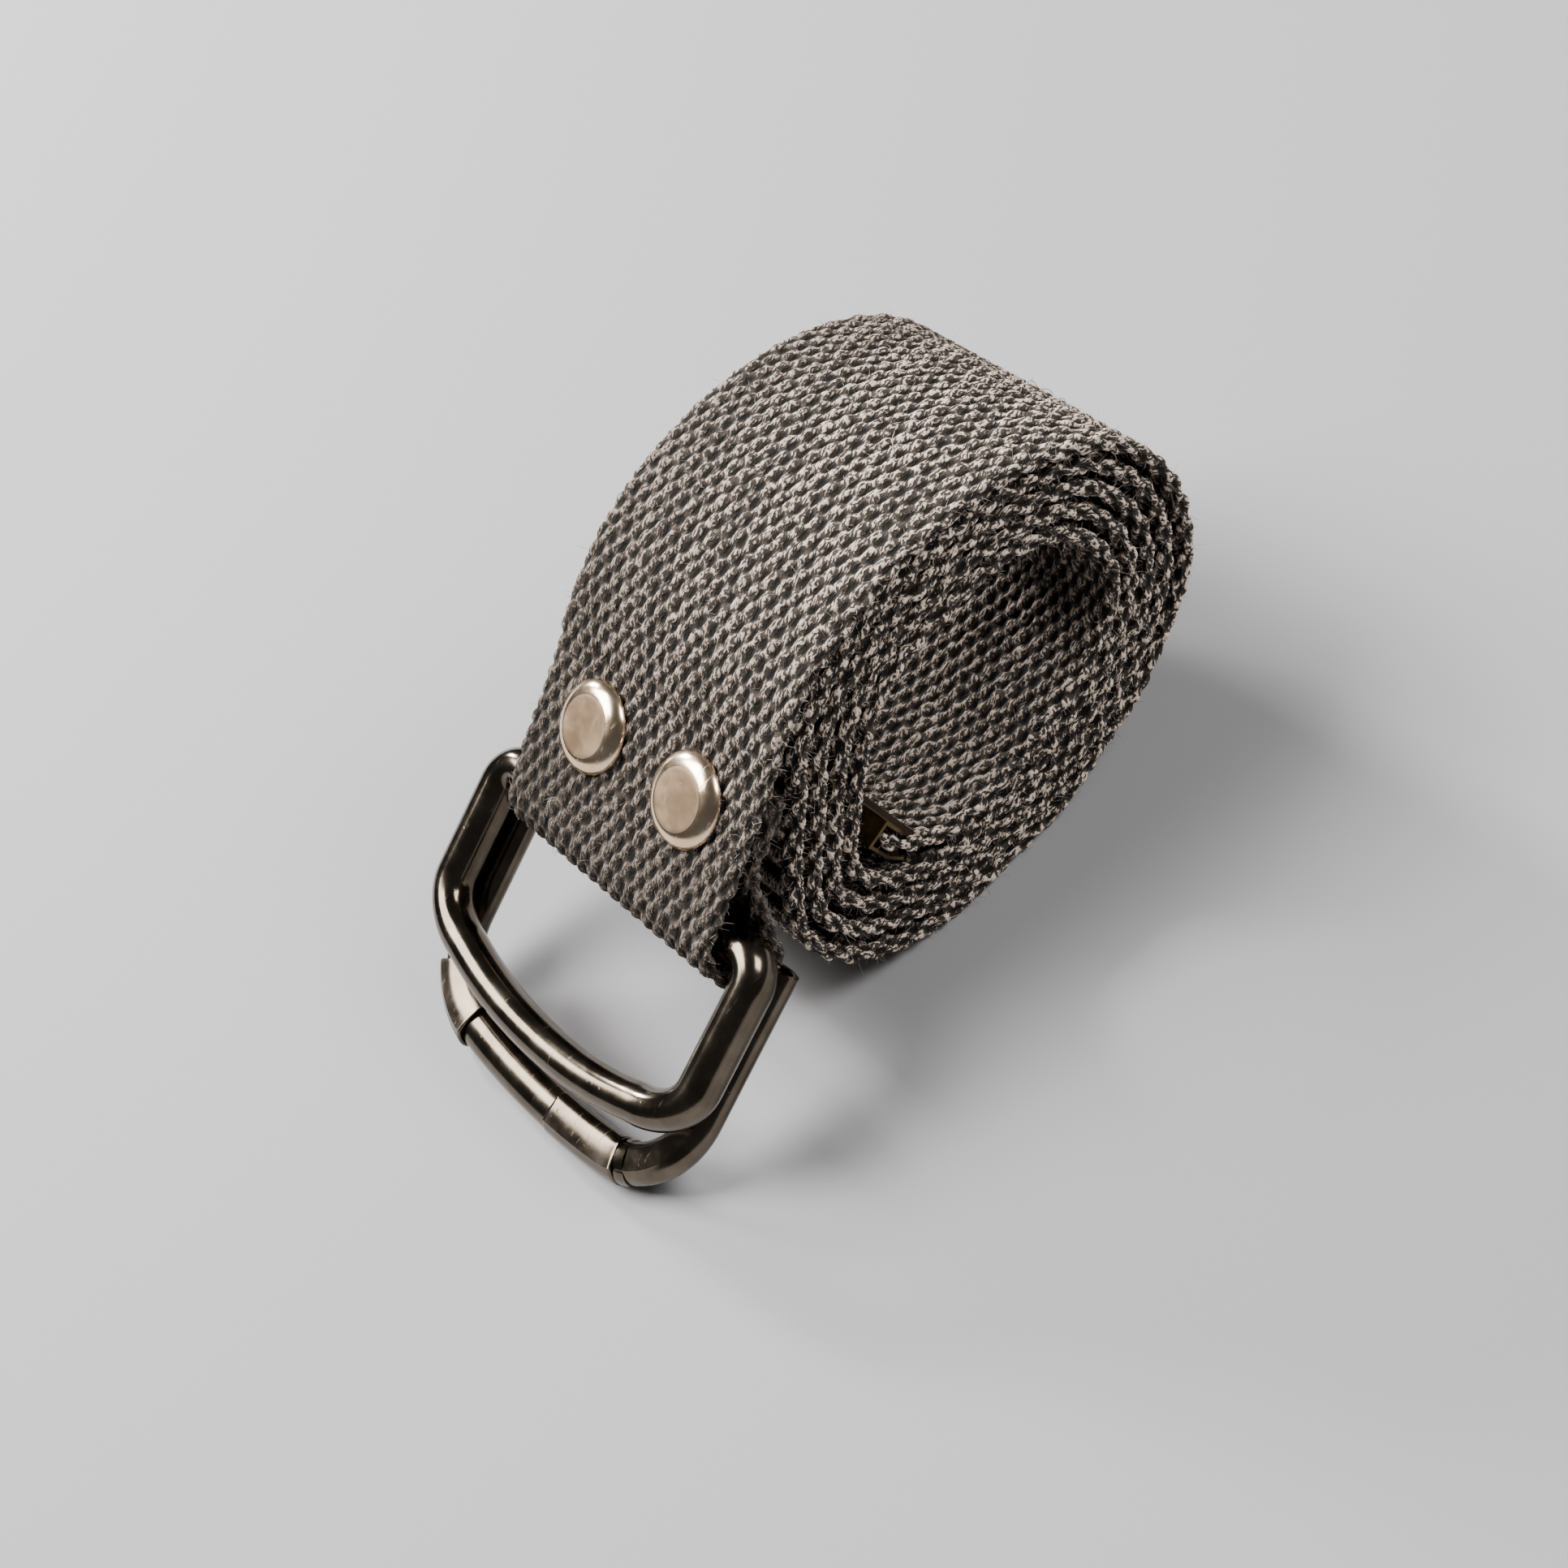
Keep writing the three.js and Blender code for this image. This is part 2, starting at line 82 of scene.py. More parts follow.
# %% [markdown]
# Small helpers
# An operator works on whatever is selected, so the selection is cleared before every piece. A
# finished piece has its place in its mesh and its object at the origin, so a finish that is
# tied to places in the mesh stays where it is when the piece is exported.


# %% Helpers for objects
def clear_selection():
    if bpy.context.object and bpy.context.object.mode != "OBJECT":
        bpy.ops.object.mode_set(mode="OBJECT")
    bpy.ops.object.select_all(action="DESELECT")


def pick(obj):
    clear_selection()
    obj.select_set(True)
    bpy.context.view_layer.objects.active = obj
    return obj


def settle(obj, name):
    pick(obj)
    bpy.ops.object.transform_apply(location=True, rotation=True, scale=True)
    obj.name = name
    obj.data.name = name


def place_new(name, data):
    obj = bpy.data.objects.new(name, data)
    bpy.context.scene.collection.objects.link(obj)
    return obj


# %% [markdown]
# The way of the webbing
# The real belt is one long strap that is looped, folded back and rolled up. Its way could be
# typed in as a list of points, but the model's solid already has it: an outline pushed across
# the belt. The solid's right-hand face is read back here as a loop of edges. The loop's two
# short edges are the strap's ends, and what lies between them is the way that the webbing takes.

# %% Read the strap's outline
STRAP_THICKNESS = 2.1 * MM
SAME_PLACE = 1e-6
strap_low, strap_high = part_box("strap")
strap_half = (strap_high.x - strap_low.x) / 2
strap_middle = (strap_high.x + strap_low.x) / 2


def side_loop(node, x):
    mesh = node.data
    places = {}
    edges = set()
    for face in mesh.polygons:
        corners = [mesh.vertices[i].co for i in face.vertices]
        if any(abs(corner.x - x) > SAME_PLACE for corner in corners):
            continue
        keys = [(round(corner.y, 6), round(corner.z, 6)) for corner in corners]
        edges.update(zip(keys, keys[1:] + keys[:1]))
    for (a, b) in edges:
        if (b, a) not in edges:
            places[a] = b
    start = min(places)
    loop = [start]
    while places[loop[-1]] != start:
        loop.append(places[loop[-1]])
    return np.array(loop)


outline = side_loop(frame["nodes"]["strap"], strap_high.x)
print("points round the strap's side:", len(outline))

# %% Split it at the strap's two ends
SQUARE_COSINE = 0.5
END_SLACK = 0.2 * MM


def strap_sides(loop):
    ahead = np.roll(loop, -1, axis=0) - loop
    length = np.linalg.norm(ahead, axis=1)
    way = ahead / length[:, None]
    turn_in = np.einsum("ij,ij->i", np.roll(way, 1, axis=0), way)
    turn_out = np.einsum("ij,ij->i", way, np.roll(way, -1, axis=0))
    square = (turn_in < SQUARE_COSINE) & (turn_out < SQUARE_COSINE)
    ends = np.flatnonzero(square & (abs(length - STRAP_THICKNESS) < END_SLACK))
    first = np.roll(loop, -(ends[0] + 1), axis=0)
    split = (ends[1] - ends[0]) % len(loop)
    return first[:split], first[split:]


sides = strap_sides(outline)
print("points on each side:", [len(side) for side in sides])

# %% [markdown]
# Length along the webbing
# Everything on the webbing is placed by how far along it lies, so the middle line between its
# two sides is smoothed and walked at even steps. The fold-back end comes first, then the loop
# round the bars, and then the turns of the roll from the outside inwards.


# %% Middle line
def smooth_curve(points, per_span=12):
    before = np.vstack([2 * points[0] - points[1], points[:-1]])
    after = np.vstack([points[1:], 2 * points[-1] - points[-2]])
    slope = (after - before) / 2
    out = []
    for i in range(len(points) - 1):
        for t in np.arange(per_span) / per_span:
            out.append((2 * t**3 - 3 * t**2 + 1) * points[i] + (t**3 - 2 * t**2 + t) * slope[i]
                       + (3 * t**2 - 2 * t**3) * points[i + 1] + (t**3 - t**2) * slope[i + 1])
    return np.array(out + [points[-1]])


def distances(line):
    return np.concatenate([[0], np.cumsum(np.linalg.norm(np.diff(line, axis=0), axis=1))])


middle = (sides[0] + sides[1][::-1]) / 2
if middle[0][0] > middle[-1][0]:
    middle = middle[::-1]
middle_line = smooth_curve(middle)
walked = distances(middle_line)
webbing_length = walked[-1]


def middle_at(along):
    return np.stack([np.interp(along, walked, middle_line[:, k]) for k in (0, 1)], axis=-1)


def on_line(along):
    along = np.asarray(along, float)
    reach = 0.3 * MM
    way = middle_at(along + reach) - middle_at(along - reach)
    way /= np.linalg.norm(way, axis=-1, keepdims=True)
    outside = np.stack([-way[..., 1], way[..., 0]], axis=-1)
    return middle_at(along), outside


print("webbing length, m:", round(webbing_length, 4))

# %% [markdown]
# The weave
# Heavy cotton webbing is a plain weave of thick yarns: each bump is a yarn passing over one
# weft, and each row of bumps sits half a step beside the row before. The yarns lean to one
# side, so the bumps join into slanting ridges. A bump map could paint them on, but they are
# real shape here, because they catch the light and make the outline of the roll rough.

# %% Weave sizes
HALF_THICK = 0.75 * MM
RELIEF = 0.52 * MM
ROW_STEP = 1.9 * MM
BUMPS_ROUND = 37
edge_run = math.pi * HALF_THICK
face_run = 2 * (strap_half - HALF_THICK)
round_run = 2 * (face_run + edge_run)
bump_pitch = round_run / BUMPS_ROUND
print("yarn pitch, mm:", round(bump_pitch / MM, 3))

# %% Height of the yarns
UNEVEN_ROUND = 0.08
UNEVEN_ALONG = 0.07
LEFT_LEAN = 0.55
RIGHT_LEAN = 0.45
HOLLOW = 0.1
RISE = 0.82


def wobble(a, b):
    # Waves per metre that never fall in step, so that no two bumps are alike
    return np.sin(a * 1130 + b * 310) * np.sin(b * 870 - a * 240) + 0.6 * np.sin(a * 2300 - b * 1900)


def yarn_bump(run, along):
    u = run / bump_pitch + UNEVEN_ROUND * wobble(run, along)
    v = along / ROW_STEP + UNEVEN_ALONG * wobble(along, run)
    left = np.cos(2 * np.pi * u - np.pi * v)
    right = np.cos(2 * np.pi * u + np.pi * v)
    wave = LEFT_LEAN * left + RIGHT_LEAN * right
    share = np.clip((0.5 + 0.5 * wave - HOLLOW) / RISE, 0, 1)
    return share * share * (3 - 2 * share)


# %% [markdown]
# The webbing's section
# A cut across the webbing is a flat oblong with round ends. A place on it is given by the way
# round it, from the outer face over the right selvedge to the inner face and back, so that the
# yarns run over the selvedges without a break.


# %% Section of the webbing
def section_at(run):
    flat = face_run / 2
    right = (run > face_run) & (run <= face_run + edge_run)
    inner = (run > face_run + edge_run) & (run <= 2 * face_run + edge_run)
    left = run > 2 * face_run + edge_run
    turn = np.where(right, (run - face_run) / HALF_THICK, 0)
    turn = np.where(inner, np.pi, turn)
    turn = np.where(left, np.pi + (run - 2 * face_run - edge_run) / HALF_THICK, turn)
    centre = np.where(right, flat, run - flat)
    centre = np.where(inner, flat - (run - face_run - edge_run), centre)
    centre = np.where(left, -flat, centre)
    return centre, np.sin(turn), np.cos(turn)


# %% Points round the section
POINTS_PER_YARN = 6
BORDER = 2.4 * MM
BETWEEN_POINTS = 9
EDGE_POINTS = 9


def run_places(outer_fine, inner_fine):
    step = bump_pitch / POINTS_PER_YARN
    close = np.linspace(0, face_run, int(face_run / step), endpoint=False)
    border = np.arange(0, BORDER, step)
    between = np.linspace(border[-1], face_run - border[-1], BETWEEN_POINTS)[1:-1]
    sparse = np.concatenate([border, between, face_run - border[::-1]])[:-1]
    edge = np.linspace(0, edge_run, EDGE_POINTS, endpoint=False)
    outer = close if outer_fine else sparse
    inner = close if inner_fine else sparse
    return np.concatenate([outer, face_run + edge, face_run + edge_run + inner,
                           2 * face_run + edge_run + edge])


# %% [markdown]
# The webbing as a strip
# A plane could be bent along a curve with modifiers, but then the weave would be stretched in
# the tight turns. One strip of rings is laid along the way instead, each ring a section with
# its yarns standing out. Faces that are hidden between two turns get few points. The outer
# turn's right selvedge spreads a little on the front of the roll, where it is handled most.

# %% Place on the webbing
MEAN_BUMP = 0.55
SELVEDGE_RELIEF = 0.25
SPREAD = 0.6 * MM
SPREAD_WAY = (66 * MM, 90 * MM, 135 * MM, 165 * MM)
EDGE_WANDER = 0.14 * MM
EDGE_WAVES = 410


def on_webbing(run, along, proud=0.0):
    centre, side, up = section_at(run)
    bump = yarn_bump(run, along)
    lift = HALF_THICK + RELIEF * (bump - MEAN_BUMP) * (1 + SELVEDGE_RELIEF * np.abs(side)) + proud
    share = np.interp(along, SPREAD_WAY, (0, 1, 1, 0)) * np.clip(centre / strap_half, 0, 1)**2
    uneven = EDGE_WANDER * np.sin(along * EDGE_WAVES + side) * np.abs(side)
    x = strap_middle + centre + side * lift + share * SPREAD + uneven
    place, outside = on_line(along)
    y = place[..., 0] + outside[..., 0] * up * lift
    z = place[..., 1] + outside[..., 1] * up * lift
    normal = np.stack([side, outside[..., 0] * up, outside[..., 1] * up], axis=-1)
    return np.stack([x, y, z], axis=-1), normal, bump


# %% Strip of webbing
ROWS_PER_BUMP = 5


def lay_map(mesh, ring, rows, end_loops):
    # One unit of the map is a metre, round the section and along the webbing
    count = len(ring)
    run_a = np.tile(ring, len(rows) - 1)
    run_b = np.tile(np.append(ring[1:], round_run), len(rows) - 1)
    low = np.repeat(rows[:-1], count)
    high = np.repeat(rows[1:], count)
    on_quads = np.stack([run_a, low, run_b, low, run_b, high, run_a, high], axis=1).ravel()
    on_ends = [value for row, loop in zip((rows[0], rows[-1]), end_loops)
               for i in loop for value in (ring[i % count], row)]
    layer = mesh.uv_layers.new(name="weave")
    layer.data.foreach_set("uv", np.concatenate([on_quads, on_ends]))


def webbing_strip(name, start, end, outer_fine, inner_fine):
    rows = np.linspace(start, end, int(round((end - start) / (ROW_STEP / ROWS_PER_BUMP))) + 1)
    ring = run_places(outer_fine, inner_fine)
    run, along = np.meshgrid(ring, rows)
    points, _, bump = on_webbing(run, along)
    count = len(ring)
    base = np.arange(len(rows) - 1)[:, None] * count
    a = (base + np.arange(count)).ravel()
    b = (base + (np.arange(count) + 1) % count).ravel()
    quads = np.stack([a, b, b + count, a + count], axis=1)
    first = list(range(count - 1, -1, -1))
    last = list(range((len(rows) - 1) * count, len(rows) * count))
    mesh = bpy.data.meshes.new(name)
    mesh.from_pydata(points.reshape(-1, 3), [], quads.tolist() + [first, last])
    mesh.attributes.new("bump", "FLOAT", "POINT").data.foreach_set("value", bump.ravel())
    lay_map(mesh, ring, rows, (first, last))
    mesh.polygons.foreach_set("use_smooth", np.ones(len(mesh.polygons), bool))
    mesh.update()
    print(name, "triangles:", 2 * len(quads), "from", round(start, 3), "to", round(end, 3))
    return place_new(name, mesh)


# %% The three lengths of webbing
outer_end = 0.215
core_start = webbing_length - 0.135
webbing_pieces = [
    webbing_strip("webbing_outer", 0, outer_end, True, False),
    webbing_strip("webbing_turns", outer_end, core_start, False, False),
    webbing_strip("webbing_core", core_start, webbing_length, False, True),
]

# %% [markdown]
# Loose hairs
# Cotton webbing wears hairy, most of all at its selvedges, where pale ends of fibre stand out
# from every turn. A hair particle system could grow them, but here each hair is a thin
# three-sided tube along a curved way, so its root can be put exactly where the weave is.

# %% Shape of a hair
HAIR_JOINTS = 5
HAIR_SIDES = 3
HAIR_CURL = 0.7
HAIR_TAPER = 0.6
ABOVE_FLOOR = 0.02 * MM


def hair_mesh(name, roots, ways, bends, lengths, radii):
    t = np.linspace(0, 1, HAIR_JOINTS)[None, :, None]
    length = lengths[:, None, None]
    bend = bends[:, None] * (t * t * HAIR_CURL * length)
    line = roots[:, None] + ways[:, None] * t * length + bend
    reference = np.cross(ways, bends)
    reference /= np.linalg.norm(reference, axis=1, keepdims=True) + 1e-9
    second = np.cross(ways, reference)
    rings = []
    for k in range(HAIR_SIDES):
        angle = 2 * math.pi * k / HAIR_SIDES
        out = math.cos(angle) * reference + math.sin(angle) * second
        rings.append(line + out[:, None] * radii[:, None, None] * (1 - HAIR_TAPER * t))
    points = np.stack(rings, axis=2).reshape(-1, 3)
    points[:, 2] = np.maximum(points[:, 2], ABOVE_FLOOR)

    # Number the faces: the sides first, then the closed root and tip of each hair
    base = np.arange(len(roots))[:, None] * HAIR_JOINTS * HAIR_SIDES
    side = np.arange(HAIR_SIDES)
    joint = base[:, :, None] + np.arange(HAIR_JOINTS - 1)[None, :, None] * HAIR_SIDES
    a = (joint + side).ravel()
    b = (joint + (side + 1) % HAIR_SIDES).ravel()
    quads = np.stack([a, b, b + HAIR_SIDES, a + HAIR_SIDES], axis=1)
    root_faces = base + side[::-1]
    tip_faces = base + (HAIR_JOINTS - 1) * HAIR_SIDES + side
    mesh = bpy.data.meshes.new(name)
    mesh.from_pydata(points, [], quads.tolist() + root_faces.tolist() + tip_faces.tolist())
    return place_new(name, mesh)


# %% Hairs
ROOT_DEPTH = 0.05 * MM
HAIR_SCATTER = 0.75
HAIR_BEND = 0.6
HAIR_LENGTHS = (0.3, 1.1)
HAIR_RADII = (0.02, 0.036)
HAIR_SEED = 7


def grow_hairs(name, groups):
    rng = np.random.default_rng(HAIR_SEED)
    runs, alongs = [], []
    for amount, run_limits, along_limits in groups:
        runs.append(rng.uniform(*run_limits, amount))
        alongs.append(rng.uniform(*along_limits, amount))
    run, along = np.concatenate(runs), np.concatenate(alongs)
    roots, normal, _ = on_webbing(run, along, -ROOT_DEPTH)
    ways = normal + rng.normal(0, HAIR_SCATTER, normal.shape)
    ways /= np.linalg.norm(ways, axis=1, keepdims=True)
    bends = rng.normal(0, HAIR_BEND, normal.shape)
    lengths = rng.uniform(*HAIR_LENGTHS, len(run)) * MM
    radii = rng.uniform(*HAIR_RADII, len(run)) * MM
    return hair_mesh(name, roots, ways, bends, lengths, radii)


# Each group is an amount, where its roots are round the section and where along the webbing
right_selvedge = (face_run - 0.6 * MM, face_run + edge_run + 0.3 * MM)
left_selvedge = (2 * face_run + edge_run, round_run)
outer_face = (0, face_run)
inner_face = (face_run + edge_run, 2 * face_run + edge_run)
hairs = grow_hairs("webbing_hairs", [
    (3800, right_selvedge, (0, webbing_length)),
    (900, left_selvedge, (0, webbing_length)),
    (1500, outer_face, (0, outer_end)),
    (500, inner_face, (webbing_length - 0.08, webbing_length)),
])
print("hairs:", len(hairs.data.polygons), "faces")

# %% [markdown]
# Long loose fibres
# A few long fibres have come off the yarns and lie curled on the face of the outer turn. Each
# is a curve with a round bevel, laid on the webbing by the same function as the hairs, so it
# rises and falls with the yarns below it.

# %% Three fibres
FIBRE_RADIUS = 0.045 * MM
FIBRE_POINTS = 40
FIBRE_SWING = 0.45
FIBRE_CURL = 0.3
FIBRE_LIFT = (0.15, 0.25)


def loose_fibre(name, run, along, size, turns, seed):
    drift, phase = np.random.default_rng(seed).uniform(-1, 1, 2)
    t = np.linspace(0, 1, FIBRE_POINTS)
    across = run + size * (FIBRE_SWING * np.sin(turns * 2 * np.pi * t) + drift * (t - 0.5))
    onward = along + size * (FIBRE_CURL * np.cos(turns * 2 * np.pi * t + phase) + (t - 0.5))
    proud = (FIBRE_LIFT[0] + FIBRE_LIFT[1] * np.sin(np.pi * t)) * MM
    points, _, _ = on_webbing(across, onward, proud)
    curve = bpy.data.curves.new(name, "CURVE")
    curve.dimensions = "3D"
    curve.bevel_depth = FIBRE_RADIUS
    curve.bevel_resolution = 1
    spline = curve.splines.new("POLY")
    spline.points.add(len(points) - 1)
    spline.points.foreach_set("co", np.hstack([points, np.ones((len(points), 1))]).ravel())
    obj = pick(place_new(name, curve))
    bpy.ops.object.convert(target="MESH")
    return obj


loose_fibres = [
    loose_fibre("loose_fibre_top", 0.36 * face_run, 128 * MM, 4.2 * MM, 1.6, 3),
    loose_fibre("loose_fibre_front", 0.62 * face_run, 117 * MM, 4.8 * MM, 1.2, 5),
    loose_fibre("loose_fibre_low", 0.66 * face_run, 96 * MM, 3.4 * MM, 0.8, 8),
]
print("loose fibres:", [len(fibre.data.polygons) for fibre in loose_fibres], "faces")

# %% [markdown]
# The buckle's own plane
# Both rings lie in one leaning plane: x runs across the belt, y from the loop's bar to the bow
# and z from the front ring to the frame behind it. Its place comes from the hinge of the front
# ring, and its lean from the second hinge, which lies behind the first and a little nearer to
# the bow. Flat rings are then drawn flat, and one matrix puts them in their place.

# %% Buckle plane
BAR_LEAD = 2.5 * MM
hinges = {joint["name"]: Vector(joint["pos_m"]) for joint in frame["joints"]}
front_bar = hinges["front_ring_swing"]
between_bars = hinges["back_frame_swing"] - front_bar
bar_spacing = math.sqrt(between_bars.length_squared - BAR_LEAD**2)
lead_turn = Matrix.Rotation(math.asin(BAR_LEAD / between_bars.length), 3, "X")
across_axis = Vector((1, 0, 0))
behind_axis = lead_turn @ between_bars.normalized()
along_axis = behind_axis.cross(across_axis)
buckle_axes = Matrix((across_axis, along_axis, behind_axis)).transposed()
buckle_plane = Matrix.Translation(front_bar) @ buckle_axes.to_4x4()
print("buckle leans, degrees:", round(math.degrees(math.asin(-along_axis.z)), 2))

# %% [markdown]
# The front ring
# Thick wire, a little deeper than it is wide, bent to a rounded rectangle whose far side bows
# out. The bends next to the webbing are tight and the two at the bow are wide. Straight and
# round pieces could be joined, but one closed curve has no seams: its bends are drawn with
# Bezier handles, a second curve is its section, and the result is turned into a mesh.


# %% Curve helpers
def new_curve(name):
    curve = bpy.data.curves.new(name, "CURVE")
    curve.dimensions = "2D"
    curve.fill_mode = "NONE"
    return curve


def closed_path(name, knots):
    curve = new_curve(name)
    curve.resolution_u = 20
    spline = curve.splines.new("BEZIER")
    spline.bezier_points.add(len(knots) - 1)
    for point, (before, place, after) in zip(spline.bezier_points, knots):
        point.handle_left_type = point.handle_right_type = "FREE"
        point.handle_left = (*before, 0)
        point.co = (*place, 0)
        point.handle_right = (*after, 0)
    spline.use_cyclic_u = True
    return place_new(name, curve)


def section_curve(name, points):
    curve = new_curve(name)
    spline = curve.splines.new("POLY")
    spline.points.add(len(points) - 1)
    for point, (a, b) in zip(spline.points, points):
        point.co = (a, b, 0, 1)
    spline.use_cyclic_u = True
    return place_new(name, curve)


def point_outwards():
    bpy.ops.object.mode_set(mode="EDIT")
    bpy.ops.mesh.select_all(action="SELECT")
    bpy.ops.mesh.remove_doubles(threshold=SAME_PLACE)
    bpy.ops.mesh.normals_make_consistent(inside=False)
    bpy.ops.object.mode_set(mode="OBJECT")


def sweep(path, section):
    path.data.bevel_mode = "OBJECT"
    path.data.bevel_object = section
    pick(path)
    bpy.ops.object.convert(target="MESH")
    bpy.data.objects.remove(section)
    point_outwards()


def ellipse_points(width, depth, count=32):
    turns = [2 * math.pi * i / count for i in range(count)]
    return [(width / 2 * math.cos(turn), depth / 2 * math.sin(turn)) for turn in turns]


# %% Front ring's curve
FRONT_WIRE = 4.8 * MM
FRONT_DEPTH = 5.2 * MM
FRONT_HALF = 24.1 * MM
FRONT_REACH = 23.5 * MM
FRONT_BOW = 3.6 * MM
BAR_CORNER = 3.2 * MM
BOW_CORNER = 6.8 * MM
BOW_CORNER_DOWN = 4.8 * MM
BEND = 0.56
STRAIGHT = 0.3


def toward(a, b, share):
    return (a[0] + (b[0] - a[0]) * share, a[1] + (b[1] - a[1]) * share)


def mirrored(knots):
    return [tuple((-x, y) for x, y in reversed(knot)) for knot in reversed(knots)]


def front_knots():
    shoulder = FRONT_REACH - FRONT_BOW
    bow_start = FRONT_HALF - BOW_CORNER
    bar_end = (FRONT_HALF - BAR_CORNER, 0)
    arm_start = (FRONT_HALF, BAR_CORNER)
    arm_end = (FRONT_HALF, shoulder - BOW_CORNER_DOWN)
    bow_end = (bow_start, shoulder + FRONT_BOW * 0.35)
    bow_handle = (bow_start * 0.66, shoulder + FRONT_BOW * 0.82)
    bar_bend = (FRONT_HALF, 0)
    bow_bend = (FRONT_HALF, shoulder)
    right = [
        (toward(bar_end, (0, 0), STRAIGHT), bar_end, toward(bar_end, bar_bend, BEND)),
        (toward(arm_start, bar_bend, BEND), arm_start, toward(arm_start, arm_end, STRAIGHT)),
        (toward(arm_end, arm_start, STRAIGHT), arm_end, toward(arm_end, bow_bend, BEND)),
        (toward(bow_end, bow_bend, BEND), bow_end, bow_handle),
    ]
    crown = bow_start * 0.36
    top = ((crown, FRONT_REACH), (0, FRONT_REACH), (-crown, FRONT_REACH))
    return right + [top] + mirrored(right)


# %% Front ring
SMOOTH_WIRE = 60
rings_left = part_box("front_ring")[0].x + FRONT_HALF + FRONT_WIRE / 2


def smooth(obj, degrees):
    pick(obj)
    bpy.ops.object.shade_smooth_by_angle(angle=math.radians(degrees))


front_ring = closed_path("front_wire", front_knots())
sweep(front_ring, section_curve("wire_section", ellipse_points(FRONT_WIRE, FRONT_DEPTH)))
front_ring.matrix_world = buckle_plane @ Matrix.Translation((rings_left, 0, 0))
settle(front_ring, "front_ring_wire")
smooth(front_ring, SMOOTH_WIRE)
print("front ring, mm:", [round(v / MM, 1) for v in front_ring.dimensions])

# %% [markdown]
# The back frame
# A hollow tube with a nearly flat front that ends in a crease near its outer edge. It is bent
# to a U whose arms are open at their ends, and a rounder bar, hardly thicker than the tube,
# runs along the bow between the arms. A curve with a bevel can't keep the crease on the outer
# side in every bend, so the section is set out row by row along the U. The whole frame sits
# half a millimetre to the left of the front ring, as in the photograph.

# %% Back frame's path
FRAME_WIDTH = 4.8 * MM
FRAME_DEPTH = 3.8 * MM
FRAME_HALF = 22.9 * MM
FRAME_REACH = 28.3 * MM
FRAME_TAIL = 1.8 * MM
FRAME_CORNER = 9.8 * MM
FRAME_BOW = 1.6 * MM
FRAME_ASIDE = 0.5 * MM


def frame_knots():
    shoulder = FRAME_REACH - FRAME_BOW
    left_end = (-FRAME_HALF, -FRAME_TAIL)
    left_arm = (-FRAME_HALF, shoulder - FRAME_CORNER)
    left_bow = (-FRAME_HALF + FRAME_CORNER, shoulder + FRAME_BOW * 0.55)
    corner = (-FRAME_HALF, shoulder)
    crown = ((FRAME_CORNER - FRAME_HALF) * 0.41, shoulder + FRAME_BOW * 1.2)
    knots = [
        (left_end, left_end, toward(left_end, left_arm, STRAIGHT)),
        (toward(left_arm, left_end, STRAIGHT), left_arm, toward(left_arm, corner, BEND)),
        (toward(left_bow, corner, BEND), left_bow, crown),
    ]
    return knots + mirrored(knots)


def frame_line(samples=60):
    knots = frame_knots()
    points = []
    for (_, a, b), (c, d, _) in zip(knots, knots[1:]):
        for t in np.arange(samples) / samples:
            weights = ((1 - t)**3, 3 * t * (1 - t)**2, 3 * t * t * (1 - t), t**3)
            points.append(sum(w * np.array(p) for w, p in zip(weights, (a, b, c, d))))
    return np.array(points + [knots[-1][1]])


frame_way = frame_line()
frame_walked = distances(frame_way)
print("frame's way, mm:", round(frame_walked[-1] / MM, 1))


# %% Places on the frame's path
def frame_at(along):
    return np.array([np.interp(along, frame_walked, frame_way[:, k]) for k in (0, 1)])


def along_at(across):
    bow = (frame_walked > 0.25 * frame_walked[-1]) & (frame_walked < 0.75 * frame_walked[-1])
    return float(np.interp(across, frame_way[bow, 0], frame_walked[bow]))


# %% Section of the tube
TUBE_ROWS = [(0.3, -1), (0.72, -0.72), (0.92, -0.2), (1, 0.38), (0.62, 0.78), (0.1, 1),
             (-0.45, 0.9), (-0.85, 0.5), (-1, 0), (-0.85, -0.5), (-0.45, -0.86)]
CREASE = 3


def tube_section(margin, rounded=5):
    # A smooth curve through the rows, broken only at the crease
    half_width = FRAME_WIDTH / 2 + margin
    half_depth = FRAME_DEPTH / 2 + margin
    rows = np.array([(outer * half_width, -front * half_depth) for front, outer in TUBE_ROWS])
    closed = np.vstack([rows[-1:], rows, rows[:2]])
    points = []
    for i in range(1, len(closed) - 2):
        p0, p1, p2, p3 = closed[i - 1:i + 3]
        if i - 1 == CREASE:
            p0 = 2 * p1 - p2
        if i == CREASE:
            p3 = 2 * p2 - p1
        for t in np.arange(rounded) / rounded:
            points.append(0.5 * ((2 * p1) + (p2 - p0) * t + (2 * p0 - 5 * p1 + 4 * p2 - p3) * t**2
                                 + (3 * p1 - p0 - 3 * p2 + p3) * t**3))
    return np.array(points)


# %% Tubes on the frame's path
TUBE_STEP = 0.4 * MM


def frame_tube(name, start, end, section):
    count = max(2, int(round((end - start) / TUBE_STEP)) + 1)
    reach = 0.1 * MM
    points = []
    for along in np.linspace(start, end, count):
        place = frame_at(along)
        way = frame_at(min(along + reach, frame_walked[-1])) - frame_at(max(along - reach, 0))
        way /= np.linalg.norm(way)
        outer = np.array([-way[1], way[0]])
        for a, b in section:
            points.append((place[0] + outer[0] * a, place[1] + outer[1] * a, b))
    around = len(section)
    faces = []
    for row in range(count - 1):
        for i in range(around):
            a, b = row * around + i, row * around + (i + 1) % around
            faces.append((a, a + around, b + around, b))
    mesh = bpy.data.meshes.new(name)
    mesh.from_pydata(points, [], faces)
    obj = pick(place_new(name, mesh))
    point_outwards()
    return obj


